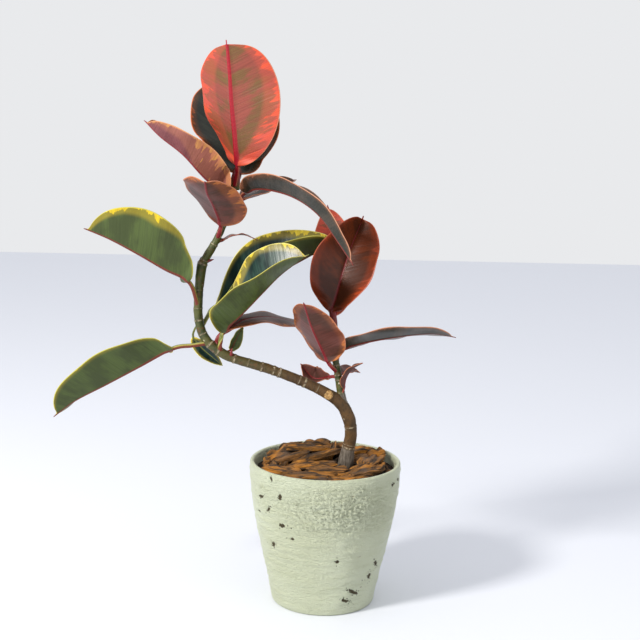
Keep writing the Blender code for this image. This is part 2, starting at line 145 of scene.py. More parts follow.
class Wire:
    """One value in a material. Python's operators on it add the nodes that work it out."""

    def __init__(self, tree, socket):
        self.tree = tree
        self.socket = socket

    def add(self, kind, settings=None, sockets=None, out=0):
        node = self.tree.nodes.new(kind)
        for name, value in (settings or {}).items():
            setattr(node, name, value)
        for name, value in (sockets or {}).items():
            if isinstance(value, Wire):
                self.tree.links.new(value.socket, node.inputs[name])
            else:
                node.inputs[name].default_value = value
        return Wire(self.tree, node.outputs[out])

    def math(self, operation, *values):
        return self.add("ShaderNodeMath", {"operation": operation}, dict(enumerate(values)))

    def __add__(self, other):
        return self.math("ADD", self, other)

    def __radd__(self, other):
        return self.math("ADD", other, self)

    def __sub__(self, other):
        return self.math("SUBTRACT", self, other)

    def __rsub__(self, other):
        return self.math("SUBTRACT", other, self)

    def __mul__(self, other):
        return self.math("MULTIPLY", self, other)

    def __rmul__(self, other):
        return self.math("MULTIPLY", other, self)

    def __truediv__(self, other):
        return self.math("DIVIDE", self, other)

    def __rtruediv__(self, other):
        return self.math("DIVIDE", other, self)

    def __abs__(self):
        return self.math("ABSOLUTE", self)

    def between(self, low, high):
        """0 up to low, 1 from high, and smooth between them. Low may be the larger."""
        return self.add("ShaderNodeMapRange", {"interpolation_type": "SMOOTHSTEP"},
                        {"Value": self, "From Min": low, "From Max": high})

    def blend(self, first, second):
        """The first colour where this is 0 and the second where it is 1."""
        return self.add("ShaderNodeMix", {"data_type": "RGBA"}, {0: self, 6: first, 7: second}, 2)

    def noise(self, scale, detail=3.0, rough=0.5, warp=0.0):
        return self.add("ShaderNodeTexNoise", None, {
            "Vector": self, "Scale": scale, "Detail": detail, "Roughness": rough, "Distortion": warp})

    def stretched(self, x, y, z):
        return self.add("ShaderNodeVectorMath", {"operation": "MULTIPLY"}, {0: self, 1: (x, y, z)})


def new_finish(name, roughness):
    """A material, its shader and a first wire from which the rest is built."""
    finish = bpy.data.materials.new(name)
    finish.use_nodes = True
    shader = finish.node_tree.nodes["Principled BSDF"]
    shader.inputs["Roughness"].default_value = roughness
    place = finish.node_tree.nodes.new("ShaderNodeTexCoord")
    return finish, shader, Wire(finish.node_tree, place.outputs["Object"])


def feed(shader, name, wire):
    wire.tree.links.new(wire.socket, shader.inputs[name])


def feed_bump(shader, height, strength, depth):
    feed(shader, "Normal", height.add("ShaderNodeBump", None, {
        "Strength": strength, "Distance": depth, "Height": height}))


def show(piece_name, mesh, finishes, slot, *nodes):
    """The finished piece, riding on the one body and standing for its CAD nodes."""
    for finish in finishes:
        mesh.materials.append(finish)
    piece = bpy.data.objects.new(piece_name, mesh)
    bpy.context.scene.collection.objects.link(piece)
    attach(piece, "root")
    if nodes:
        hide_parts(*nodes)
    return piece


def pot_radius(height):
    rise = math.sin(math.pi / 2 * min(max(height / POT_HEIGHT, 0), 1)) ** POT_BELLY
    return FOOT_RADIUS + (RIM_RADIUS - FOOT_RADIUS) * rise


def ease(value):
    value = min(max(value, 0.0), 1.0)
    return value * value * (3 - 2 * value)


def arc(centre, radius, start, end, steps):
    angles = [math.radians(start + (end - start) * i / steps) for i in range(steps + 1)]
    return [(centre[0] + radius * math.cos(a), centre[1] + radius * math.sin(a)) for a in angles]


def spun(profile, steps):
    """A closed shell: the profile of (radius, height) points turned about the Z axis."""
    made = bmesh.new()
    points = [made.verts.new((radius, 0, height)) for radius, height in profile]
    edges = [made.edges.new(pair) for pair in zip(points, points[1:])]
    bmesh.ops.spin(made, geom=points + edges, axis=(0, 0, 1), cent=(0, 0, 0), angle=math.tau,
                   steps=steps, use_merge=True)
    bmesh.ops.remove_doubles(made, verts=made.verts, dist=0.000005)
    bmesh.ops.recalc_face_normals(made, faces=made.faces)
    return made


def pit_depth(bearing, height):
    """How far inside any pit's edge a place on the wall lies, from 0 to 1."""
    deepest = 0
    for turn, level, length, width, slant in PITS:
        off = (bearing - math.radians(turn - 90) + math.pi) % math.tau - math.pi
        across = off * pot_radius(level)
        rise = height - level
        if abs(across) < 0.012 and abs(rise) < 0.012:
            along = across * math.cos(slant) + rise * math.sin(slant)
            over = rise * math.cos(slant) - across * math.sin(slant)
            ragged = 1 + 1.1 * noise.noise(Vector((across * 800, rise * 800, turn)))
            reach = math.hypot(along / length, over / width) * ragged
            deepest = max(deepest, ease(1.6 - reach))
    return deepest


def glaze_relief(point, bearing):
    """Metres that the glaze stands proud of the turned wall, and how deep in a pit it is."""
    x, y, z = point
    streak = noise.noise(Vector((x * 30, y * 30, z * 170))) * 0.00045
    streak += noise.noise(Vector((x * 90, y * 90, z * 420 + 7))) * 0.00040
    streak += noise.noise(Vector((x * 260, y * 260, z * 700 + 9))) * 0.00022
    dent = noise.noise(Vector((x * 60, y * 60, z * 110 + 3))) * 0.00028
    off = (bearing - BEAD_BEARING + math.pi) % math.tau - math.pi
    patch = math.exp(-((off / 0.95) ** 4) - ((z - 0.114) / 0.030) ** 2)
    around = math.exp(-((z - 0.124) / 0.013) ** 2) * ease(noise.noise(Vector((x * 30, y * 30, 2))) * 2.4)
    bead = abs(noise.noise(Vector((x * 340, y * 340, z * 420))))
    bead += 0.6 * abs(noise.noise(Vector((x * 700, y * 700, z * 800))))
    beads = (min(bead, 0.42) - 0.16) * 0.0052 * max(patch, 0.6 * around)
    ledge = ease((noise.noise(Vector((x * 26, y * 26, z * 210 + 20))) - 0.16) * 6) * 0.00042
    pit = pit_depth(bearing, z)
    calm = ease((POT_HEIGHT - LIP_BAND - z) / 0.004) * ease((z - 0.004) / 0.005)
    return (streak + dent + beads + ledge) * calm - 0.0008 * pit, pit


half_wall = POT_WALL / 2
wall_heights = [POT_HEIGHT - half_wall - (POT_HEIGHT - half_wall - FOOT_EDGE) * i / WALL_ROWS
                for i in range(1, WALL_ROWS)]
inner_heights = [POT_FLOOR + (POT_HEIGHT - half_wall - POT_FLOOR) * i / INNER_ROWS
                 for i in range(1, INNER_ROWS)]
pot_profile = [(0, POT_FLOOR), (pot_radius(POT_FLOOR) - POT_WALL, POT_FLOOR)]
pot_profile += [(pot_radius(z) - POT_WALL, z) for z in inner_heights]
pot_profile += arc((RIM_RADIUS - half_wall, POT_HEIGHT - half_wall), half_wall, 180, 0, 12)
pot_profile += [(pot_radius(z), z) for z in wall_heights]
pot_profile += arc((FOOT_RADIUS - FOOT_EDGE, FOOT_EDGE), FOOT_EDGE, 0, -90, 6)
pot_profile += [(0, 0)]
shape = spun(pot_profile, POT_STEPS)
pit_layer = shape.verts.layers.float.new("pit")
hollow_layer = shape.verts.layers.float.new("hollow")
for vert in shape.verts:
    x, y, z = vert.co
    if math.hypot(x, y) > pot_radius(z) - POT_WALL * 0.3 and FOOT_EDGE < z < POT_HEIGHT - half_wall:
        proud, pit = glaze_relief(vert.co, math.atan2(y, x))
        out = Vector((x, y, 0)).normalized()
        vert[pit_layer] = pit
        vert[hollow_layer] = min(max(0.5 - proud / 0.0022, 0), 1)
        vert.co += out * proud
    else:
        vert[hollow_layer] = 0.5
pot_mesh = bpy.data.meshes.new("pot_shell")
shape.to_mesh(pot_mesh)
shape.free()
pot_mesh.shade_smooth()

glaze, shader, place = new_finish("celadon_glaze", 0.36)
pit = place.add("ShaderNodeAttribute", {"attribute_name": "pit"}, out=2)
hollow = place.add("ShaderNodeAttribute", {"attribute_name": "hollow"}, out=2)
streaks = place.stretched(30, 30, 230).noise(1.0, 4, 0.6)
specks = place.noise(520, 2, 0.6)
cloud = place.noise(14, 3, 0.5)
colour = cloud.between(0.35, 0.7).blend(pigment(220, 226, 194), pigment(228, 235, 206))
colour = (streaks.between(0.5, 0.72) * 0.4).blend(colour, pigment(200, 206, 168))
# Painted shade: where the glaze relief dips below the turned wall it is darkened to a shaded olive, and
# speckled brown in the deepest dips.
colour = (hollow.between(0.66, 1.0) * 0.55).blend(colour, pigment(140, 140, 96))
colour = (hollow.between(0.92, 1.2) * specks.between(0.5, 0.62)).blend(colour, pigment(120, 104, 66))
rust = place.stretched(60, 60, 150).noise(1.0, 3, 0.7).between(0.68, 0.74)
colour = (rust * specks.between(0.52, 0.6) * 0.7).blend(colour, pigment(128, 108, 66))
pit_mask = (pit + place.noise(900, 3, 0.7) * 1.2 - 0.6).between(0.38, 0.52)
colour = pit_mask.blend(colour, pigment(80, 72, 48))
feed(shader, "Base Color", colour)
feed(shader, "Roughness", pit_mask * 0.5 + streaks * 0.16 + 0.24)
fine = place.stretched(1, 1, 1.8).noise(380, 4, 0.68) * 1.2 + streaks * 0.8 + place.noise(1100, 2, 0.5) * 0.25
feed_bump(shader, fine, 1.0, 0.0046)
show("pot_shell", pot_mesh, [glaze], "glazed_pot", "pot")

# ---------------------------------------------------------------------------
# The soil: dark potting mix, level a centimetre below the lip. It keeps its CAD solid and only
# shows as black crumbs between the bark.
soil_finish, shader, place = new_finish("potting_mix", 0.95)
grains = place.noise(420, 4, 0.65)
feed(shader, "Base Color", grains.between(0.4, 0.7).blend(pigment(28, 20, 14), pigment(78, 56, 38)))
feed_bump(shader, grains, 0.9, 0.002)
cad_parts["soil"].data.materials.clear()
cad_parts["soil"].data.materials.append(soil_finish)

# ---------------------------------------------------------------------------
# The bark mulch: torn flakes of pine bark in layers, orange-brown where freshly split and nearly
# black in the cracks, partly its own dark fissures and partly painted shade, with painted shade low down by the
# soil too. Big chunks are heaped at the back left and the right, flat flakes in front.
SOIL_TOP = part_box("soil")[1][2]
MOUTH = pot_radius(SOIL_TOP) - POT_WALL - 0.004
BARK_MOUTH = 0.070
# as in the frame: share of the way to the wall, bearing, length, width, thickness, heading
BARK_CHIPS = [
    (0.70, 151, 40, 20, 16, 40), (0.66, 104, 38, 17, 17, -8), (0.84, 190, 26, 14, 9, 98),
    (0.33, 130, 42, 11, 11, 22), (0.30, 192, 42, 11, 9, 14), (0.72, 220, 30, 16, 8, -30),
    (0.70, 262, 38, 18, 8, -4), (0.28, 258, 30, 12, 9, 6), (0.66, 313, 34, 18, 9, 20),
    (0.88, 294, 22, 8, 7, 18), (0.78, 352, 28, 15, 10, 78), (0.74, 24, 26, 16, 15, 50),
    (0.69, 60, 30, 14, 10, -28), (0.62, 178, 12, 8, 8, 75),
]
# loose flakes between and on them: x, y, height above the soil, length, width, thickness in
# millimetres, heading and tilt in degrees
LOOSE_FLAKES = [
    (-36, 8, 7, 40, 9, 5, 28, 12), (-18, 30, 12, 42, 10, 5, 12, -4), (-6, 14, 9, 46, 8, 5, 24, 8),
    (-22, -12, 5, 44, 10, 4, 14, 4), (2, -25, 5, 34, 19, 5, -6, 2), (-42, -26, 5, 34, 21, 4, -24, -3),
    (38, -16, 5, 30, 15, 5, 40, 4), (46, 4, 8, 30, 20, 5, 66, 6), (30, 28, 10, 30, 16, 6, -20, 5),
    (8, 44, 9, 34, 12, 6, -4, 3), (30, -44, 5, 32, 18, 4, 24, 0), (-18, -46, 5, 40, 17, 4, -12, 2),
    (8, 33, 12, 20, 5, 4, 82, 28), (38, -34, 6, 34, 14, 5, 30, 3), (-56, 10, 3, 24, 10, 6, 70, -6),
    (-8, 52, 10, 26, 11, 7, -10, 4), (50, 22, 9, 18, 12, 9, 10, 8), (4, -12, 3, 22, 10, 5, -30, 5),
    (-4, -10, 6, 30, 9, 5, 12, 6), (6, -52, 3, 26, 10, 4, 4, 0), (-34, 40, 10, 26, 10, 7, 30, 6),
    (52, -16, 5, 22, 10, 5, 70, -4), (34, 10, 8, 22, 9, 6, 20, 8),
]


def tear_flake(bark, size, rough, seed, spot, turn, tilt, tint):
    """Adds one torn flake: a block cut into rows, ragged at its ends and split along its grain."""
    grain = bark.loops.layers.uv["grain"]
    shade = bark.verts.layers.float["tint"]
    older = len(bark.verts)
    made = bmesh.ops.create_cube(bark, size=1)["verts"]
    edges = {e for v in made for e in v.link_edges}
    bmesh.ops.subdivide_edges(bark, edges=list(edges), cuts=rough, use_grid_fill=True)
    bark.verts.ensure_lookup_table()
    verts = bark.verts[older:]
    for face in {f for v in verts for f in v.link_faces}:
        face.smooth = True
        for loop in face.loops:
            x, y, z = loop.vert.co
            loop[grain].uv = (x * size.x * 10 + seed, (y * size.y + z * size.z) * 10 + seed)
    for vert in verts:
        x, y, z = vert.co
        end = noise.noise(Vector((y * 4, seed, z)))
        ridge = abs(noise.noise(Vector((x * size.x * 60, y * size.y * 420, seed + z * 0.6))))
        lump = noise.noise(Vector((x * 3.1, y * 2.7, seed + z)))
        taper = 1 - 0.30 * abs(2 * x) ** 4
        local = Vector((x * size.x * (1 + 0.34 * end),
                        y * size.y * (taper + 0.30 * lump + 0.12 * end),
                        (z + 0.5) * size.z * (0.80 + 0.4 * lump) * (0.3 + 0.7 * taper)))
        if z > 0:
            local.z += (0.25 - ridge) * min(size.z * 0.55, 0.0035)
        local.z += (x * x - 0.08) * size.x * 0.10 * math.sin(seed * 5)
        vert.co = spot + turn @ tilt @ local
        vert[shade] = tint


def new_bark():
    bark = bmesh.new()
    bark.loops.layers.uv.new("grain")
    bark.verts.layers.float.new("tint")
    return bark


def bark_mesh(name, bark):
    bmesh.ops.recalc_face_normals(bark, faces=bark.faces)
    mesh = bpy.data.meshes.new(name)
    bark.to_mesh(mesh)
    bark.free()
    return mesh


bark_finish, shader, place = new_finish("torn_bark", 0.82)
grain = place.add("ShaderNodeUVMap", {"uv_map": "grain"})
tint = place.add("ShaderNodeAttribute", {"attribute_name": "tint"}, out=2)
fibres = grain.stretched(3.0, 34, 1).noise(2.2, 4, 0.6)
plates = grain.stretched(1.6, 6, 1).noise(2.6, 3, 0.55, 0.4)
colour = fibres.between(0.34, 0.66).blend(pigment(50, 34, 16), pigment(118, 80, 36))
colour = (plates.between(0.42, 0.66) * tint * 0.9).blend(colour, pigment(202, 132, 42))
# The bark's own dark fissures, deepened by painted shade in the recesses of the relief.
colour = (plates.between(0.48, 0.36) * 0.8).blend(colour, pigment(38, 26, 15))
colour = (place.noise(60, 2, 0.5).between(0.56, 0.70) * 0.4).blend(colour, pigment(112, 92, 78))
height = place.add("ShaderNodeSeparateXYZ", None, {0: place}, 2)
# Painted shade: the bark darkens nearly black within a few millimetres of the soil, where the flakes lie under
# and between one another.
colour = (height.between(SOIL_TOP + 0.0075, SOIL_TOP + 0.0005) * 0.85).blend(colour, pigment(26, 18, 11))
feed(shader, "Base Color", colour)
feed_bump(shader, fibres + place.noise(600, 3, 0.6) * 0.6 + plates * 1.4, 1.0, 0.0020)

for number, (share, bearing, length, width, thickness, heading) in enumerate(BARK_CHIPS, start=1):
    bearing = math.radians(bearing)
    flat = MOUTH * share
    spot = Vector((flat * math.cos(bearing), flat * math.sin(bearing), SOIL_TOP + 0.0003))
    size = Vector((length * MOUTH / BARK_MOUTH, width * MOUTH / BARK_MOUTH, thickness)) / 1000
    bark = new_bark()
    tear_flake(bark, size, 14, number * 3.7, spot, Matrix.Rotation(math.radians(heading), 3, "Z"),
               Matrix.Identity(3), 0.35 + 0.65 * abs(math.sin(number * 2.3)))
    name = f"bark_flake_{number:02d}"
    show(name, bark_mesh(name, bark), [bark_finish], "bark", f"bark_chip_{number:02d}")

bark = new_bark()
for number, (x, y, lift, length, width, thickness, heading, tilt) in enumerate(LOOSE_FLAKES):
    tear_flake(bark, Vector((length, width, thickness)) / 1000, 12, 60 + number * 2.9,
               Vector((x / 1000, y / 1000, SOIL_TOP + lift / 1000)),
               Matrix.Rotation(math.radians(heading), 3, "Z"),
               Matrix.Rotation(math.radians(-tilt), 3, "Y"), 0.3 + 0.7 * abs(math.sin(number * 1.7)))
show("loose_bark", bark_mesh("loose_bark", bark), [bark_finish], "bark")

CRUMBS = 130
bark = new_bark()
for number in range(CRUMBS):
    flat = MOUTH * math.sqrt((number + 0.5) / CRUMBS)
    bearing = number * math.pi * (3 - math.sqrt(5))
    chance = noise.cell(Vector((number * 1.3, 4.1, 0.2)))
    size = Vector((0.007 + 0.007 * chance, 0.003 + 0.003 * chance, 0.003 + 0.002 * chance))
    spot = Vector((flat * math.cos(bearing), flat * math.sin(bearing), SOIL_TOP - 0.0006))
    if (spot - Vector((0.021, 0.005, SOIL_TOP))).length < 0.010:
        continue
    tear_flake(bark, size, 4, 200 + number * 1.1, spot, Matrix.Rotation(number * 2.1, 3, "Z"),
               Matrix.Rotation(0.5 * (chance - 0.5), 3, "Y"), chance)
show("bark_crumbs", bark_mesh("bark_crumbs", bark), [bark_finish], "bark")

# ---------------------------------------------------------------------------
# The main stem: one woody trunk that leaves the soil at a thick grey collar, bends over to the
# left and turns up again. Brown bark gives way to green skin, ringed by the scars of old leaves.
PLANT_BASE = Vector((0, 0, POT_HEIGHT))
# x, y, height above the rim and radius in millimetres, from the buried foot to the crown
MAIN_STEM = [
    (18, 5, -45, 7.4), (19, 5, -20, 8.0), (21, 5, -2, 7.8), (22, 5, 6, 7.0), (23, 5, 12, 6.2),
    (25, 4, 26, 6.0), (22, 3, 43, 6.3), (12, 2, 59, 6.0), (-12, -2, 74, 5.1), (-50, -7, 90, 4.8),
    (-87, -9, 101, 4.5), (-102, -9, 107, 4.7), (-115, -8, 116, 4.6), (-123, -6, 127, 4.5),
    (-127, -4, 143, 4.4), (-127, -3, 164, 4.3), (-124, -1, 192, 4.9), (-119, -1, 202, 4.0),
    (-107, 0, 224, 3.4), (-95, 2, 258, 3.1), (-93, 2, 268, 3.0),
]
# places along the stem in millimetres above the soil's level, and how much each ring stands out
STEM_SCARS = [
    (22, 0.8), (25, 0.5), (44, 0.5), (61, 0.15), (84, 0.3), (99, 0.3), (113, 0.9), (119, 0.4),
    (140, 1.0), (146, 0.5), (158, 0.5), (172, 0.3), (186, 0.6), (203, 0.5), (214, 0.7), (226, 0.4),
    (240, 0.4), (252, 0.3), (270, 0.3), (296, 0.7), (300, 0.5), (318, 0.4), (338, 0.5), (352, 0.4),
    (365, 0.5), (371, 0.4),
]


LINE_STEPS = 8


class Line:
    """A smooth line through a few points, read by the distance along it."""

    def __init__(self, points, steps=LINE_STEPS):
        ends = [points[0] * 2 - points[1], *points, points[-1] * 2 - points[-2]]
        self.points = []
        for a, b, c, d in zip(ends, ends[1:], ends[2:], ends[3:]):
            for step in range(steps):
                t = step / steps
                self.points.append(
                    (b * 2 + (c - a) * t + (a * 2 - b * 5 + c * 4 - d) * t**2
                     + (b * 3 - a - c * 3 + d) * t**3) / 2)
        self.points.append(points[-1])
        self.marks = [0.0]
        for a, b in zip(self.points, self.points[1:]):
            self.marks.append(self.marks[-1] + (b - a).length)
        self.length = self.marks[-1]

    def at(self, distance):
        distance = min(max(distance, 0.0), self.length)
        for i, mark in enumerate(self.marks[1:]):
            if distance <= mark:
                share = (distance - self.marks[i]) / (mark - self.marks[i])
                return self.points[i].lerp(self.points[i + 1], share)
        return self.points[-1]

    def heading(self, distance):
        reach = self.length * 0.01
        return (self.at(distance + reach) - self.at(distance - reach)).normalized()


def plant_point(point):
    return PLANT_BASE + Vector(point[:3]) / 1000


def long_tube(around, rows):
    """A closed tube of unit radius, cut into rows, that is bent into a stem or a leaf."""
    tube = bmesh.new()
    bmesh.ops.create_cone(tube, cap_ends=True, segments=around, radius1=1, radius2=1, depth=1)
    sides = [e for e in tube.edges if abs(e.verts[0].co.z - e.verts[1].co.z) > 0.5]
    bmesh.ops.subdivide_edges(tube, edges=sides, cuts=rows - 1, use_grid_fill=True)
    return tube


def grow_stem(name, stem, scars, seed, end_round):
    """A stem's mesh. Its layer "bark" holds the place round it and along it, in metres."""
    path = Line([plant_point(p) for p in stem])
    knots = [path.marks[i * LINE_STEPS] for i in range(len(stem))]
    soil_mark = min(range(len(path.points)), key=lambda i: abs(path.points[i].z - SOIL_TOP))
    rows = round(path.length / 0.0009)
    tube = long_tube(28, rows)
    bark_place = tube.verts.layers.float_vector.new("bark")
    side = Vector((1, 0, 0))
    rings = {}
    for vert in tube.verts:
        rings.setdefault(round((vert.co.z + 0.5) * rows), []).append(vert)
    for row in sorted(rings):
        distance = path.length * row / rows
        middle = path.at(distance)
        ahead = path.heading(distance)
        side = (side - ahead * side.dot(ahead)).normalized()
        other = ahead.cross(side)
        part = max(i for i, knot in enumerate(knots) if knot <= distance + 1e-9)
        radius = stem[part][3] / 1000
        if part < len(stem) - 1:
            share = (distance - knots[part]) / (knots[part + 1] - knots[part])
            radius += (stem[part + 1][3] / 1000 - radius) * ease(share)
        level = (distance - path.marks[soil_mark]) * 1000
        ridge = sum(size * math.exp(-((level - place) / 0.9) ** 2)
                    - 0.5 * size * math.exp(-((level - place - 1.8) / 1.1) ** 2) for place, size in scars)
        if end_round:
            radius *= 0.55 + 0.45 * min(1, (path.length - distance) / 0.006)
        for vert in rings[row]:
            angle = math.atan2(vert.co.y, vert.co.x)
            out = side * math.cos(angle) + other * math.sin(angle)
            spot = middle + out * radius
            lump = noise.noise(spot * 150 + Vector((seed, 0, 0))) * 0.00035
            fine = noise.noise(Vector((spot.x * 700, spot.y * 700, spot.z * 200))) * 0.00012
            uneven = 0.75 + 0.5 * noise.noise(spot * 260)
            vert.co = middle + out * (radius + lump + fine + ridge * uneven / 1000)
            vert[bark_place] = (angle * radius, level / 1000, ridge)
    for ring in (rings[0], rings[rows]):
        bmesh.ops.smooth_vert(tube, verts=ring, factor=0.2, use_axis_x=True, use_axis_y=True, use_axis_z=True)
    bmesh.ops.recalc_face_normals(tube, faces=tube.faces)
    mesh = bpy.data.meshes.new(name)
    tube.to_mesh(mesh)
    tube.free()
    mesh.shade_smooth()
    return mesh


def bark_finish_of(name, base, green_from, green_to):
    """Stem bark: brown and furrowed low down, mottled, and green skin above green_to."""
    finish, shader, place = new_finish(name, 0.6)
    spot = place.add("ShaderNodeAttribute", {"attribute_name": "bark"}, out=1)
    level = spot.add("ShaderNodeSeparateXYZ", None, {0: spot}, 1)
    ridge = spot.add("ShaderNodeSeparateXYZ", None, {0: spot}, 2)
    blotches = place.noise(75, 3, 0.6)
    flecks = place.stretched(1, 1, 0.6).noise(520, 3, 0.6)
    colour = blotches.between(0.38, 0.64).blend(base[0], base[1])
    colour = (flecks.between(0.50, 0.68) * 0.6).blend(colour, base[2])
    grown = (level + (blotches - 0.5) * 0.16).between(green_from, green_to)
    green = blotches.between(0.36, 0.62).blend(pigment(76, 80, 28), pigment(48, 55, 19))
    green = (place.noise(160, 3, 0.6).between(0.52, 0.66) * 0.8).blend(green, pigment(92, 62, 24))
    colour = grown.blend(colour, green)
    collar = level.between(0.024, 0.019)
    grey = place.stretched(1, 1, 0.15).noise(620, 3, 0.6).between(0.35, 0.65)
    colour = collar.blend(colour, grey.blend(pigment(70, 60, 50), pigment(112, 102, 90)))
    scar = ridge.between(0.10, 0.40)
    colour = (scar * 0.85).blend(colour, flecks.between(0.4, 0.6).blend(
        pigment(74, 54, 34), pigment(160, 146, 118)))
    dots = place.add("ShaderNodeTexVoronoi", None, {"Vector": place, "Scale": 150.0})
    milk = dots.between(0.20, 0.13) * place.noise(48, 1, 0.5).between(0.54, 0.60)
    colour = milk.blend(colour, pigment(196, 186, 164))
    feed(shader, "Base Color", colour)
    feed(shader, "Roughness", 0.62 - grown * 0.2 + flecks * 0.15)
    furrows = place.stretched(1, 1, 0.2).noise(900, 2, 0.5)
    feed_bump(shader, flecks * 0.7 + blotches + furrows * 0.6, 0.5, 0.0008)
    return finish


trunk_bark = bark_finish_of(
    "trunk_bark", (pigment(70, 48, 17), pigment(90, 62, 24), pigment(40, 29, 12)), 0.11, 0.24)
trunk = grow_stem("trunk", MAIN_STEM, STEM_SCARS, 3.0, True)
show("trunk", trunk, [trunk_bark], "stem_bark", "main_stem")

# ---------------------------------------------------------------------------
# The side shoot: a younger green stem that leaves the outside of the bend and grows straight up.
SIDE_SHOOT = [
    (20, 3, 46, 4.5), (17, 3, 56, 4.4), (14, 4, 68, 4.0), (11, 4, 84, 3.6), (8, 4, 100, 3.5),
    (6, 4, 116, 3.3), (5, 5, 132, 3.1),
]
SHOOT_SCARS = [(69, 0.4), (80, 0.35), (93, 0.5), (98, 0.4), (108, 0.5), (114, 0.4), (126, 0.5), (140, 0.4)]
shoot_skin = bark_finish_of(
    "shoot_skin", (pigment(120, 104, 58), pigment(96, 92, 46), pigment(140, 118, 74)), -0.02, 0.02)
shoot = grow_stem("shoot", SIDE_SHOOT, [(place - 57, size) for place, size in SHOOT_SCARS], 9.0, True)
show("shoot", shoot, [shoot_skin], "green_stem", "side_shoot")

# ---------------------------------------------------------------------------
# The leaves: thick, leathery blades on short red stalks, each grown in one piece with its midrib,
# which is a raised rib on the under side and a groove on the upper. The blades are green or
# brown-red in the middle, with a ragged border of yellow, orange or coral.
STALK_RADIUS = 0.0023
BLADE_THICKNESS = 0.0008
LEAF_POINT = 0.04
DRIP_TIP = 0.0013
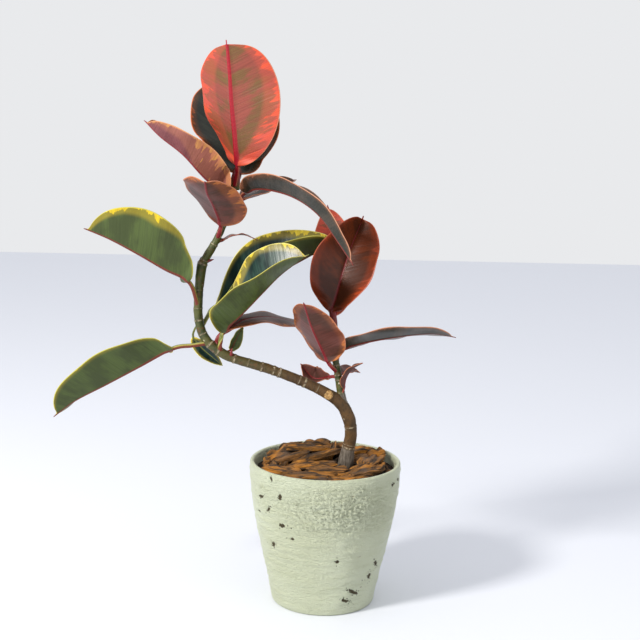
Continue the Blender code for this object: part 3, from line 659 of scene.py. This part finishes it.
# petiole points from inside the stem, the blade's midrib points, the ways its upper side faces
# from base to tip, the full width, where it is widest, how pointed base and tip are, the fold at
# base and tip and the curl of either half in degrees. border is how deep the coloured edge
# reaches on either half, from base to tip, in millimetres. sides gives a young or turned leaf
# one colouring all round.
LEAVES = {
    "leaf_crown_front": dict(
        petiole=[(-93, -1, 270), (-91, -4, 280)],
        blade=[(-90, -8, 290), (-92, -15, 316), (-95, -20, 347), (-97, -23, 376), (-100, -24, 406)],
        face=[(0.69, 0.71, 0.1), (0.34, 0.93, -0.1)],
        width=95, lean=1.08, blunt=(0.48, 0.32), fold=(12, 18), curl=(10, 7), drip=0, rib=1.9,
        kind="coral", border=[(14, 12, 9, 6), (14, 17, 15, 12)]),
    "leaf_crown_back": dict(
        petiole=[(-93, 5, 270), (-91, 9, 276)],
        blade=[(-90, 18, 281), (-94, 34, 304), (-100, 51, 332), (-103, 66, 357), (-103, 76, 376)],
        face=[(0.28, -0.92, 0.27), (0.1, -0.95, 0.3)],
        width=100, lean=0.94, blunt=(0.5, 0.6), fold=(24, 22), curl=(10, 14),
        kind="dark", border=[(5, 5, 3, 2), (3, 4, 3, 2)]),
    "leaf_upper_left": dict(
        petiole=[(-98, 1, 250), (-99, 1, 258)],
        blade=[(-100, 2, 266), (-118, -4, 274), (-141, -14, 299), (-162, -22, 316), (-176, -28, 331)],
        face=[(0.62, 0.16, 0.77), (0.55, 0.17, 0.82)],
        width=60, lean=0.6, blunt=(0.5, 0.35), fold=(47, 41), curl=(8, 9),
        kind="pink", border=[(24, 22, 7, 2), (8, 5, 3, 2)]),
    "leaf_upper_front": dict(
        petiole=[(-110, -1, 216), (-107, -4, 225)],
        blade=[(-106, -5, 233), (-111, -25, 252), (-115, -48, 265), (-115, -72, 278)],
        face=[(0.51, 0.59, 0.63), (0.04, 0.08, 1.0)],
        width=67, lean=0.76, blunt=(0.8, 0.4), fold=(4, 20), curl=(5, 12),
        kind="mauve", border=[(3, 8, 9, 4), (3, 3, 4, 7)]),
    "leaf_upper_right": dict(
        petiole=[(-95, 2, 252), (-90, 8, 255)],
        blade=[(-86, 12, 257), (-72, 30, 260), (-55, 50, 266), (-35, 66, 274)],
        face=[(-0.4, -0.5, 0.7), (-0.2, -0.46, 0.87)],
        width=42, lean=1.0, blunt=(0.55, 0.55), fold=(12, 18), curl=(8, 10),
        kind="mauve", border=[(3, 3, 3, 2), (3, 3, 3, 2)]),
    "leaf_drooping": dict(
        petiole=[(-95, 1, 250), (-89, -3, 258)],
        blade=[(-81, -8, 265), (-64, -24, 269), (-36, -48, 264), (-12, -72, 250), (7, -88, 226),
               (21, -98, 207)],
        face=[(-0.18, 0.3, 0.94), (0.5, -0.08, 0.85), (0.4, 0.3, 0.87), (0.5, 0.5, 0.7)],
        width=48, lean=0.68, blunt=(0.5, 0.5), fold=(30, 25), curl=(0, 5),
        kind="mauve", sides=(0, 0), border=[(6, 1.5, 1, 1), (5, 1.5, 1, 1)]),
    "leaf_left": dict(
        petiole=[(-126, -3, 148), (-129, -7, 160)],
        blade=[(-136, -12, 178), (-158, -18, 190), (-183, -24, 205), (-209, -28, 219), (-233, -30, 229)],
        face=[(0.36, 0.59, 0.72), (0.28, 0.69, 0.67)],
        width=93, lean=1.04, blunt=(0.5, 0.5), fold=(28, 32), curl=(8, 8),
        kind="green", border=[(0.4, 1.5, 6.5, 4, 7), (1, 1, 2, 3)]),
    "leaf_low_left": dict(
        petiole=[(-120, -7, 113), (-132, -11, 115)],
        blade=[(-151, -14, 112), (-182, -20, 95), (-215, -26, 77), (-243, -30, 62), (-264, -32, 46)],
        face=[(-0.3, 0.5, 0.8)],
        width=76, lean=0.95, blunt=(0.5, 0.5), fold=(26, 22), curl=(8, 8),
        kind="green", border=[(0.8, 0.8, 0.9, 1.1), (9, 4, 2, 2)]),
    "leaf_trough_back": dict(
        petiole=[(-123, -4, 131), (-119, 8, 141)],
        blade=[(-114, 29, 147), (-82, 37, 165), (-48, 31, 184), (-19, 25, 201), (8, 20, 216)],
        face=[(-0.43, -0.65, 0.62), (0.03, 0.04, 1.0)],
        width=85, lean=1.05, blunt=(1.05, 0.4), fold=(60, 42), curl=(11, 14),
        kind="green", border=[(0.8, 1.5, 5, 9), (0.6, 0.6, 1, 1)]),
    "leaf_trough_front": dict(
        petiole=[(-106, -9, 106), (-105, -13, 114), (-104, -14, 122)],
        blade=[(-101, -12, 130), (-82, -20, 150), (-64, -26, 170), (-45, -30, 190), (-20, -32, 209)],
        face=[(-0.12, -0.04, 0.99), (-0.32, -0.4, 0.86)],
        width=89, lean=0.81, blunt=(0.55, 0.4), fold=(33, 40), curl=(4, 6),
        kind="green", border=[(2, 9, 2.5, 9), (1.6, 0.5, 0.4, 0.5)]),
    "leaf_low_middle": dict(
        petiole=[(-108, -9, 109), (-109, -5, 119), (-104, -4, 126)],
        blade=[(-97, -4, 130), (-82, 2, 139), (-58, 10, 141), (-32, 18, 134), (-10, 24, 121)],
        face=[(-0.0, -0.14, 0.99), (-0.0, -0.09, 1.0)],
        width=46, lean=0.95, blunt=(0.8, 0.5), fold=(4, 0), curl=(-7, -9),
        kind="mauve", sides=(1, 1), border=[(3, 3, 3, 3), (4, 5, 4, 3)]),
    "leaf_young_red": dict(
        petiole=[(-113, 0, 213), (-108, 3, 216)],
        blade=[(-105, 6, 217), (-96, 10, 221), (-84, 12, 222), (-71, 12, 217)],
        face=[(0, 0.1, 1)],
        width=26, lean=0.9, blunt=(0.6, 0.6), fold=(2, 2), curl=(-2, -2),
        kind="russet", border=[(3, 3), (3, 3)]),
    "leaf_by_bend": dict(
        petiole=[(-103, -8, 108), (-99, -2, 108)],
        blade=[(-96, 0, 109), (-93, 3, 114), (-89, 5, 123), (-84, 6, 132)],
        face=[(0.5, -0.8, 0.3)],
        width=14, lean=0.7, blunt=(0.6, 0.6), fold=(30, 30), curl=(5, 5),
        kind="green", sides=(1, 1), border=[(0.1, 0.1), (0.1, 0.1)]),
    "leaf_behind_bend": dict(
        petiole=[(-127, -3, 137), (-131, 3, 129)],
        blade=[(-133, 6, 120), (-125, 9, 109), (-115, 10, 100), (-104, 10, 91)],
        face=[(-0.3, -0.8, 0.5)],
        width=16, lean=0.8, blunt=(0.6, 0.6), fold=(15, 15), curl=(5, 5),
        kind="green", border=[(6, 1), (4, 1)]),
    "leaf_shoot_top": dict(
        petiole=[(5, 2, 134), (5, 2, 140)],
        blade=[(3, 6, 148), (7, 8, 163), (13, 14, 186), (20, 22, 208), (33, 34, 241)],
        face=[(-0.13, -0.6, 0.8), (0.3, -0.94, 0.16)],
        width=75, lean=0.98, blunt=(0.65, 0.4), fold=(18, 43), curl=(11, 12),
        kind="russet", border=[(5, 6, 3, 3), (5, 6, 6, 3)]),
    "leaf_shoot_back": dict(
        petiole=[(5, 8, 134), (6, 10, 138)],
        blade=[(6, 16, 143), (8, 31, 173), (4, 43, 207), (-3, 55, 250)],
        face=[(0.1, -1, 0.2)],
        width=47, lean=1.0, blunt=(0.55, 0.55), fold=(12, 12), curl=(5, 5),
        kind="coral", sides=(1, 1), border=[(10, 16, 24), (10, 16, 24)]),
    "leaf_shoot_front": dict(
        petiole=[(9, 4, 88), (4, -2, 95)],
        blade=[(0, -4, 101), (-9, -16, 121), (-17, -30, 141), (-24, -46, 165)],
        face=[(0.51, 0.7, 0.51), (0.34, 0.71, 0.61)],
        width=56, lean=0.75, blunt=(0.55, 0.45), fold=(15, 13), curl=(6, 8),
        kind="mauve", border=[(3, 3, 3, 4), (5, 5, 6, 4)]),
    "leaf_shoot_right": dict(
        petiole=[(7, 4, 97), (11, 1, 107)],
        blade=[(16, 0, 113), (36, -14, 122), (64, -26, 130), (97, -36, 136), (121, -42, 134)],
        face=[(-0.06, 0.36, 0.93), (-0.06, 0.39, 0.92)],
        width=50, lean=0.85, blunt=(0.65, 0.35), fold=(9, 5), curl=(7, 5),
        kind="mauve", sides=(0, 0), border=[(2, 2, 2, 2), (2, 2, 2, 2)]),
    "leaf_shoot_small_left": dict(
        petiole=[(11, 4, 82), (7, 7, 83)],
        blade=[(3, 10, 82), (-5, 15, 79), (-15, 20, 79), (-27, 24, 92)],
        face=[(0, -0.7, 0.6)],
        width=26, lean=0.95, blunt=(0.6, 0.6), fold=(40, 40), curl=(5, 5),
        kind="mauve", sides=(1, 1), border=[(1, 2), (1, 2)]),
    "leaf_shoot_small_right": dict(
        petiole=[(14, 3, 66), (16, 1, 69)],
        blade=[(17, 0, 73), (19, -3, 84), (25, -6, 94), (35, -10, 101)],
        face=[(-0.6, 0.2, 0.8)],
        width=15, lean=0.8, blunt=(0.6, 0.6), fold=(25, 25), curl=(5, 5),
        kind="mauve", sides=(1, 1), border=[(0.4, 0.4), (0.4, 0.4)]),
    "leaf_shoot_small_back": dict(
        petiole=[(11, 5, 80), (12, 10, 82)],
        blade=[(13, 13, 84), (18, 20, 85), (25, 30, 84), (34, 38, 81)],
        face=[(0, -0.4, 1)],
        width=20, lean=0.9, blunt=(0.6, 0.6), fold=(20, 20), curl=(5, 5),
        kind="mauve", sides=(1, 1), border=[(1, 1), (1, 1)]),
}
# for each kind, upper side then under side: two colours of the middle, the border at its inner
# and outer part, the very edge, the midrib, the roughness, and how soft the border's inner side is
LEAF_COLOURS = {
    "green": [
        ((13, 36, 33), (43, 69, 61), (201, 177, 53), (220, 196, 57), (222, 215, 133), (112, 118, 55), 0.30, 1),
        ((75, 90, 41), (61, 72, 34), (194, 167, 28), (215, 186, 30), (186, 180, 80), (125, 55, 38), 0.46, 1)],
    "coral": [
        ((34, 47, 26), (62, 56, 30), (182, 76, 37), (203, 78, 41), (216, 130, 89), (158, 41, 37), 0.34, 1.5),
        ((141, 70, 58), (109, 79, 45), (192, 76, 60), (210, 80, 50), (216, 140, 108), (166, 24, 41), 0.42, 4)],
    "dark": [
        ((32, 35, 29), (47, 50, 40), (121, 66, 24), (169, 85, 37), (199, 110, 68), (101, 40, 28), 0.30, 1.5),
        ((108, 62, 49), (82, 66, 40), (175, 77, 50), (197, 96, 57), (212, 129, 88), (155, 37, 37), 0.44, 4)],
    "mauve": [
        ((44, 43, 35), (64, 56, 46), (132, 84, 58), (167, 104, 74), (188, 132, 102), (123, 48, 40), 0.34, 1.5),
        ((98, 54, 46), (74, 46, 36), (164, 92, 53), (181, 109, 53), (190, 120, 86), (137, 35, 40), 0.46, 1.5)],
    "pink": [
        ((74, 70, 55), (92, 77, 65), (162, 106, 70), (196, 124, 86), (211, 152, 114), (142, 57, 46), 0.34, 1.5),
        ((137, 79, 81), (118, 65, 69), (186, 118, 84), (201, 141, 80), (209, 148, 106),
         (160, 53, 57), 0.44, 2)],
    "russet": [
        ((92, 38, 12), (64, 27, 9), (135, 50, 20), (160, 61, 22), (171, 79, 47), (108, 22, 23), 0.34, 5),
        ((102, 41, 32), (82, 41, 32), (153, 65, 40), (176, 83, 49), (191, 112, 77), (135, 27, 32), 0.44, 4)],
}
LEAF_SLOTS = {"pink": "leaf_mauve", "green": "leaf_green", "coral": "leaf_coral", "dark": "leaf_russet",
              "mauve": "leaf_mauve", "russet": "leaf_russet"}


def leaf_skin(name, middle, patch, inner, outer, edge_line, rib_colour, roughness, soft, upper):
    """One side of a leaf. "flat" holds the place across and along the blade and the leaf's number;
    "growth" holds how far the margin is, how deep the border reaches and the rib's half width."""
    finish, shader, place = new_finish(name, roughness)
    shader.inputs["Specular IOR Level"].default_value = 0.32
    flat = place.add("ShaderNodeAttribute", {"attribute_name": "flat"}, out=1)
    growth = place.add("ShaderNodeAttribute", {"attribute_name": "growth"}, out=1)
    across, along, number = (flat.add("ShaderNodeSeparateXYZ", None, {0: flat}, i) for i in range(3))
    margin, border, rib = (growth.add("ShaderNodeSeparateXYZ", None, {0: growth}, i) for i in range(3))
    veinwise = along - abs(across) * 0.38

    def on_veins(across_scale, along_scale, extra, detail=3.0):
        spot = along.add("ShaderNodeCombineXYZ", None, {
            0: across * across_scale, 1: veinwise * along_scale, 2: number * 1.7 + extra})
        return spot.noise(1.0, detail, 0.6)

    patches = on_veins(26, 60, 0)
    fingers = on_veins(22, 170, 5)
    threads = on_veins(24, 900, 9, 2)
    veins = on_veins(14, 330, 12, 1)
    reach = border * (fingers.between(0.38, 0.68) * 1.5 * on_veins(18, 45, 3).between(0.34, 0.60) + 0.15)
    bordered = (margin - reach).between(0.0005 * soft, -0.0005 * soft)
    colour = patches.between(0.42, 0.60).blend(pigment(*middle), pigment(*patch))
    colour = (threads.between(0.42, 0.66) * 0.42).blend(colour, pigment(*[c * 0.72 for c in middle]))
    rim_colour = on_veins(30, 240, 7).between(0.4, 0.62).blend(pigment(*inner), pigment(*outer))
    rim_colour = (threads.between(0.46, 0.62) * 0.22).blend(rim_colour, pigment(*[c * 0.8 for c in inner]))
    colour = bordered.blend(colour, rim_colour)
    near = (margin - border * 1.5).between(0.004, -0.002) * (1 - bordered) * 0.35
    colour = near.blend(colour, pigment(*inner))
    colour = margin.between(0.0011, 0.0004).blend(colour, pigment(*edge_line))
    rib_mask = (abs(across) / rib).between(1.25, 0.75)
    dark_rib = pigment(*[c * 0.8 for c in rib_colour])
    colour = rib_mask.blend(colour, threads.blend(pigment(*rib_colour), dark_rib))
    feed(shader, "Base Color", colour)
    feed(shader, "Roughness", roughness + patches * 0.12 - 0.06 + bordered * 0.05)
    height = veins * (0.8 if upper else 1.0) + threads * 0.4 + place.noise(900, 2, 0.5) * 0.15
    feed_bump(shader, height, 0.3 if upper else 0.45, 0.0007)
    return finish


leaf_skins = {
    kind: [leaf_skin(f"{kind}_leaf_{side}", *colours, side == "upper")
           for side, colours in zip(("upper", "under"), sides)]
    for kind, sides in LEAF_COLOURS.items()}


def along_list(values, share):
    """The value at a share of the way through a list of vectors."""
    place = share * (len(values) - 1)
    index = min(int(place), max(len(values) - 2, 0))
    return values[index].lerp(values[min(index + 1, len(values) - 1)], place - index)


def grow_leaf(number, name, spec, stem_line):
    """A leaf's mesh: a tube whose rings follow the stalk and the midrib, flattened in the blade."""
    stalk = min(STALK_RADIUS, spec["width"] / 14000)
    petiole = [plant_point(p) for p in spec["petiole"]]
    nearest = min(stem_line.points, key=lambda p: (p - petiole[0]).length)
    if nearest != stem_line.points[-1]:
        petiole[0] = nearest
    blade = [plant_point(p) for p in spec["blade"]]
    line = Line([*petiole, *blade])
    straight = Line([*petiole, *blade], 1)
    blade_from = straight.marks[len(petiole)] / straight.length * line.length
    faces = [Vector(f).normalized() for f in spec["face"]]
    borders = [[Vector((b / 1000, 0, 0)) for b in half] for half in spec["border"]]
    large = spec["width"] > 30
    rows = (14, 84) if large else (8, 40)
    tube = long_tube(56 if large else 32, sum(rows))
    flat_layer = tube.verts.layers.float_vector.new("flat")
    growth_layer = tube.verts.layers.float_vector.new("growth")
    for face in tube.faces:
        face.material_index = 0 if face.calc_center_median().y > 0 else 1
    for vert in tube.verts:
        row = round((vert.co.z + 0.5) * sum(rows))
        angle = math.atan2(vert.co.y, vert.co.x)
        share = max(row - rows[0], 0) / rows[1]
        share = (share + (1 - math.cos(math.pi * share)) / 2) / 2
        distance = blade_from * min(row / rows[0], 1) + (line.length - blade_from) * share
        middle = line.at(distance)
        ahead = line.heading(distance)
        up = along_list(faces, share)
        up = (up - ahead * up.dot(ahead)).normalized()
        v = math.copysign(abs(math.cos(angle)) ** 1.8, math.cos(angle))
        body = min(share / (1 - LEAF_POINT), 1)
        base, tip = spec["blunt"]
        rounded = max(math.sin(math.pi * body ** spec["lean"]), 0) ** (base + (tip - base) * body)
        drip = spec.get("drip", DRIP_TIP) * (1 - share) / LEAF_POINT if share > 0.8 else 0
        half = max(spec["width"] / 2000 * rounded, min(drip, DRIP_TIP * 1.6), stalk * (1 - ease(share * 8)))
        flatness = ease(share / 0.08)
        fold = math.radians(spec["fold"][0] + (spec["fold"][1] - spec["fold"][0]) * share) * flatness
        curl = math.radians(spec["curl"][0] if v < 0 else spec["curl"][1]) * flatness + 1e-6
        turn = fold + curl * abs(v)
        over = half * (math.sin(turn) - math.sin(fold)) / curl
        above = half * (math.cos(fold) - math.cos(turn)) / curl
        rib = stalk * (0.42 + 0.58 * (1 - share) ** 1.4) * (1 - 0.2 * flatness)
        rib *= 1 + (spec.get("rib", 1) - 1) * flatness
        reach = abs(v) * half
        round_rib = math.sqrt(max(1 - (reach / max(rib, 1e-5)) ** 2, 0))
        edge = min(1, max((half - reach) / 0.0007, 0)) ** 0.5
        skin = BLADE_THICKNESS / 2 * edge * flatness
        if math.sin(angle) > 0:
            skin = max(skin - rib * 0.25 * round_rib * flatness, 0) + stalk * math.sin(angle) * (1 - flatness)
        else:
            skin = -max(skin, rib * 0.85 * round_rib * flatness) + stalk * math.sin(angle) * (1 - flatness)
        wave = 0.0011 * abs(v) ** 2 * flatness * math.sin(share * 17 + number * 2.3 + (0 if v < 0 else 1.9))
        wave += 0.0012 * abs(v) * flatness * noise.noise(Vector((share * 5, v * 1.5, number * 3.1)))
        wave *= min(half / 0.02, 1)
        skin += wave
        vert.co = (middle + ahead.cross(up) * math.copysign(over, v) + up * above
                   + (up * math.cos(turn) - ahead.cross(up) * math.copysign(math.sin(turn), v)) * skin)
        border = along_list(borders[0 if v < 0 else 1], share).x
        vert[flat_layer] = (v * half, distance - blade_from, number * 0.37)
        vert[growth_layer] = ((half - reach) * (1 if large else 2.5), border, max(rib, 0.0003))
    bmesh.ops.recalc_face_normals(tube, faces=tube.faces)
    mesh = bpy.data.meshes.new(name)
    tube.to_mesh(mesh)
    tube.free()
    mesh.shade_smooth()
    return mesh


stem_lines = [Line([plant_point(p) for p in MAIN_STEM]), Line([plant_point(p) for p in SIDE_SHOOT])]
for number, (name, spec) in enumerate(LEAVES.items(), start=1):
    piece = name.replace("leaf_", "blade_")
    leaf = grow_leaf(number, piece, spec, stem_lines[name.startswith("leaf_shoot")])
    skins = [leaf_skins[spec["kind"]][side] for side in spec.get("sides", (0, 1))]
    show(piece, leaf, skins, LEAF_SLOTS[spec["kind"]], name)

# ---------------------------------------------------------------------------
# The buds: a pointed red sheath at the tip of either stem, wrapped round the next leaf, a few
# dormant buds beside the old leaf scars, and the round tan scar where a branch was cut away.
# each sheath: foot, tip, radius at the foot, in millimetres from the rim
SHEATHS = {
    "crown_sheath": [(-93, 2, 266), (-92.5, 2.5, 276), (-91, 5, 292), 4.4],
    "shoot_sheath": [(5, 5, 130), (5, 5, 138), (5, 8, 152), 3.8],
    "bend_bud": [(-94, -9, 104), (-94, -13, 108), (-93, -14, 114), 1.6],
    "kink_bud": [(-121, -2, 196), (-115, -3, 198), (-112, -3, 199), 1.4],
}
# the scar's middle in the trunk, its radius and height in millimetres, and how far out it sits
CUT_SCAR_PLACE = (2, -1, 66)
CUT_SCAR_RADIUS = 4.6
CUT_SCAR_HEIGHT = 2.6
CUT_SCAR_PROUD = 0.004

sheath_skin, shader, place = new_finish("sheath_skin", 0.45)
rise = place.add("ShaderNodeAttribute", {"attribute_name": "rise"}, out=2)
reddened = (rise + (place.noise(300, 2, 0.5) - 0.5) * 0.3).between(0.05, 0.45)
colour = reddened.blend(pigment(74, 78, 26), pigment(118, 28, 30))
feed(shader, "Base Color", colour)
feed_bump(shader, place.stretched(3, 3, 0.4).noise(300, 3, 0.5), 0.3, 0.0005)
for name, (foot, middle, tip, radius) in SHEATHS.items():
    path = Line([plant_point(foot), plant_point(middle), plant_point(tip)])
    sheath = long_tube(20, 18)
    rise_layer = sheath.verts.layers.float.new("rise")
    for vert in sheath.verts:
        share = vert.co.z + 0.5
        ahead = path.heading(path.length * share)
        away = Vector((1, 0, 0)) if abs(ahead.x) < 0.9 else Vector((0, 0, 1))
        side = (away - ahead * away.dot(ahead)).normalized()
        width = radius / 1000 * (max(1 - share ** 1.6, 0.0) ** 0.8 * (1 + 0.25 * math.sin(share * 3)) + 0.04)
        vert[rise_layer] = share
        vert.co = path.at(path.length * share) + (side * vert.co.x + ahead.cross(side) * vert.co.y) * width
    bmesh.ops.recalc_face_normals(sheath, faces=sheath.faces)
    mesh = bpy.data.meshes.new(name)
    sheath.to_mesh(mesh)
    sheath.free()
    mesh.shade_smooth()
    show(name, mesh, [sheath_skin], "green_stem")

scar_finish, shader, place = new_finish("scar_cork", 0.8)
cork = place.noise(700, 3, 0.6)
feed(shader, "Base Color", cork.between(0.38, 0.62).blend(pigment(128, 92, 48), pigment(182, 146, 92)))
feed_bump(shader, cork, 0.7, 0.0008)
scar = bmesh.new()
bmesh.ops.create_icosphere(scar, subdivisions=4, radius=1)
face_on = (Vector((-0.1, -1, 0.25))).normalized()
flat_on = face_on.to_track_quat("Z", "Y").to_matrix()
for vert in scar.verts:
    dish = 1 - 0.7 * math.exp(-(math.hypot(vert.co.x, vert.co.y) / 0.6) ** 2) if vert.co.z > 0 else 1
    rough = 1 + 0.12 * noise.noise(vert.co * 3)
    wide = CUT_SCAR_RADIUS * rough
    spot = Vector((vert.co.x * wide, vert.co.y * wide, vert.co.z * CUT_SCAR_HEIGHT * dish))
    vert.co = plant_point(CUT_SCAR_PLACE) + face_on * CUT_SCAR_PROUD + flat_on @ spot / 1000
scar_mesh = bpy.data.meshes.new("cut_scar")
scar.to_mesh(scar_mesh)
scar.free()
scar_mesh.shade_smooth()
show("cut_scar", scar_mesh, [scar_finish], "stem_bark")
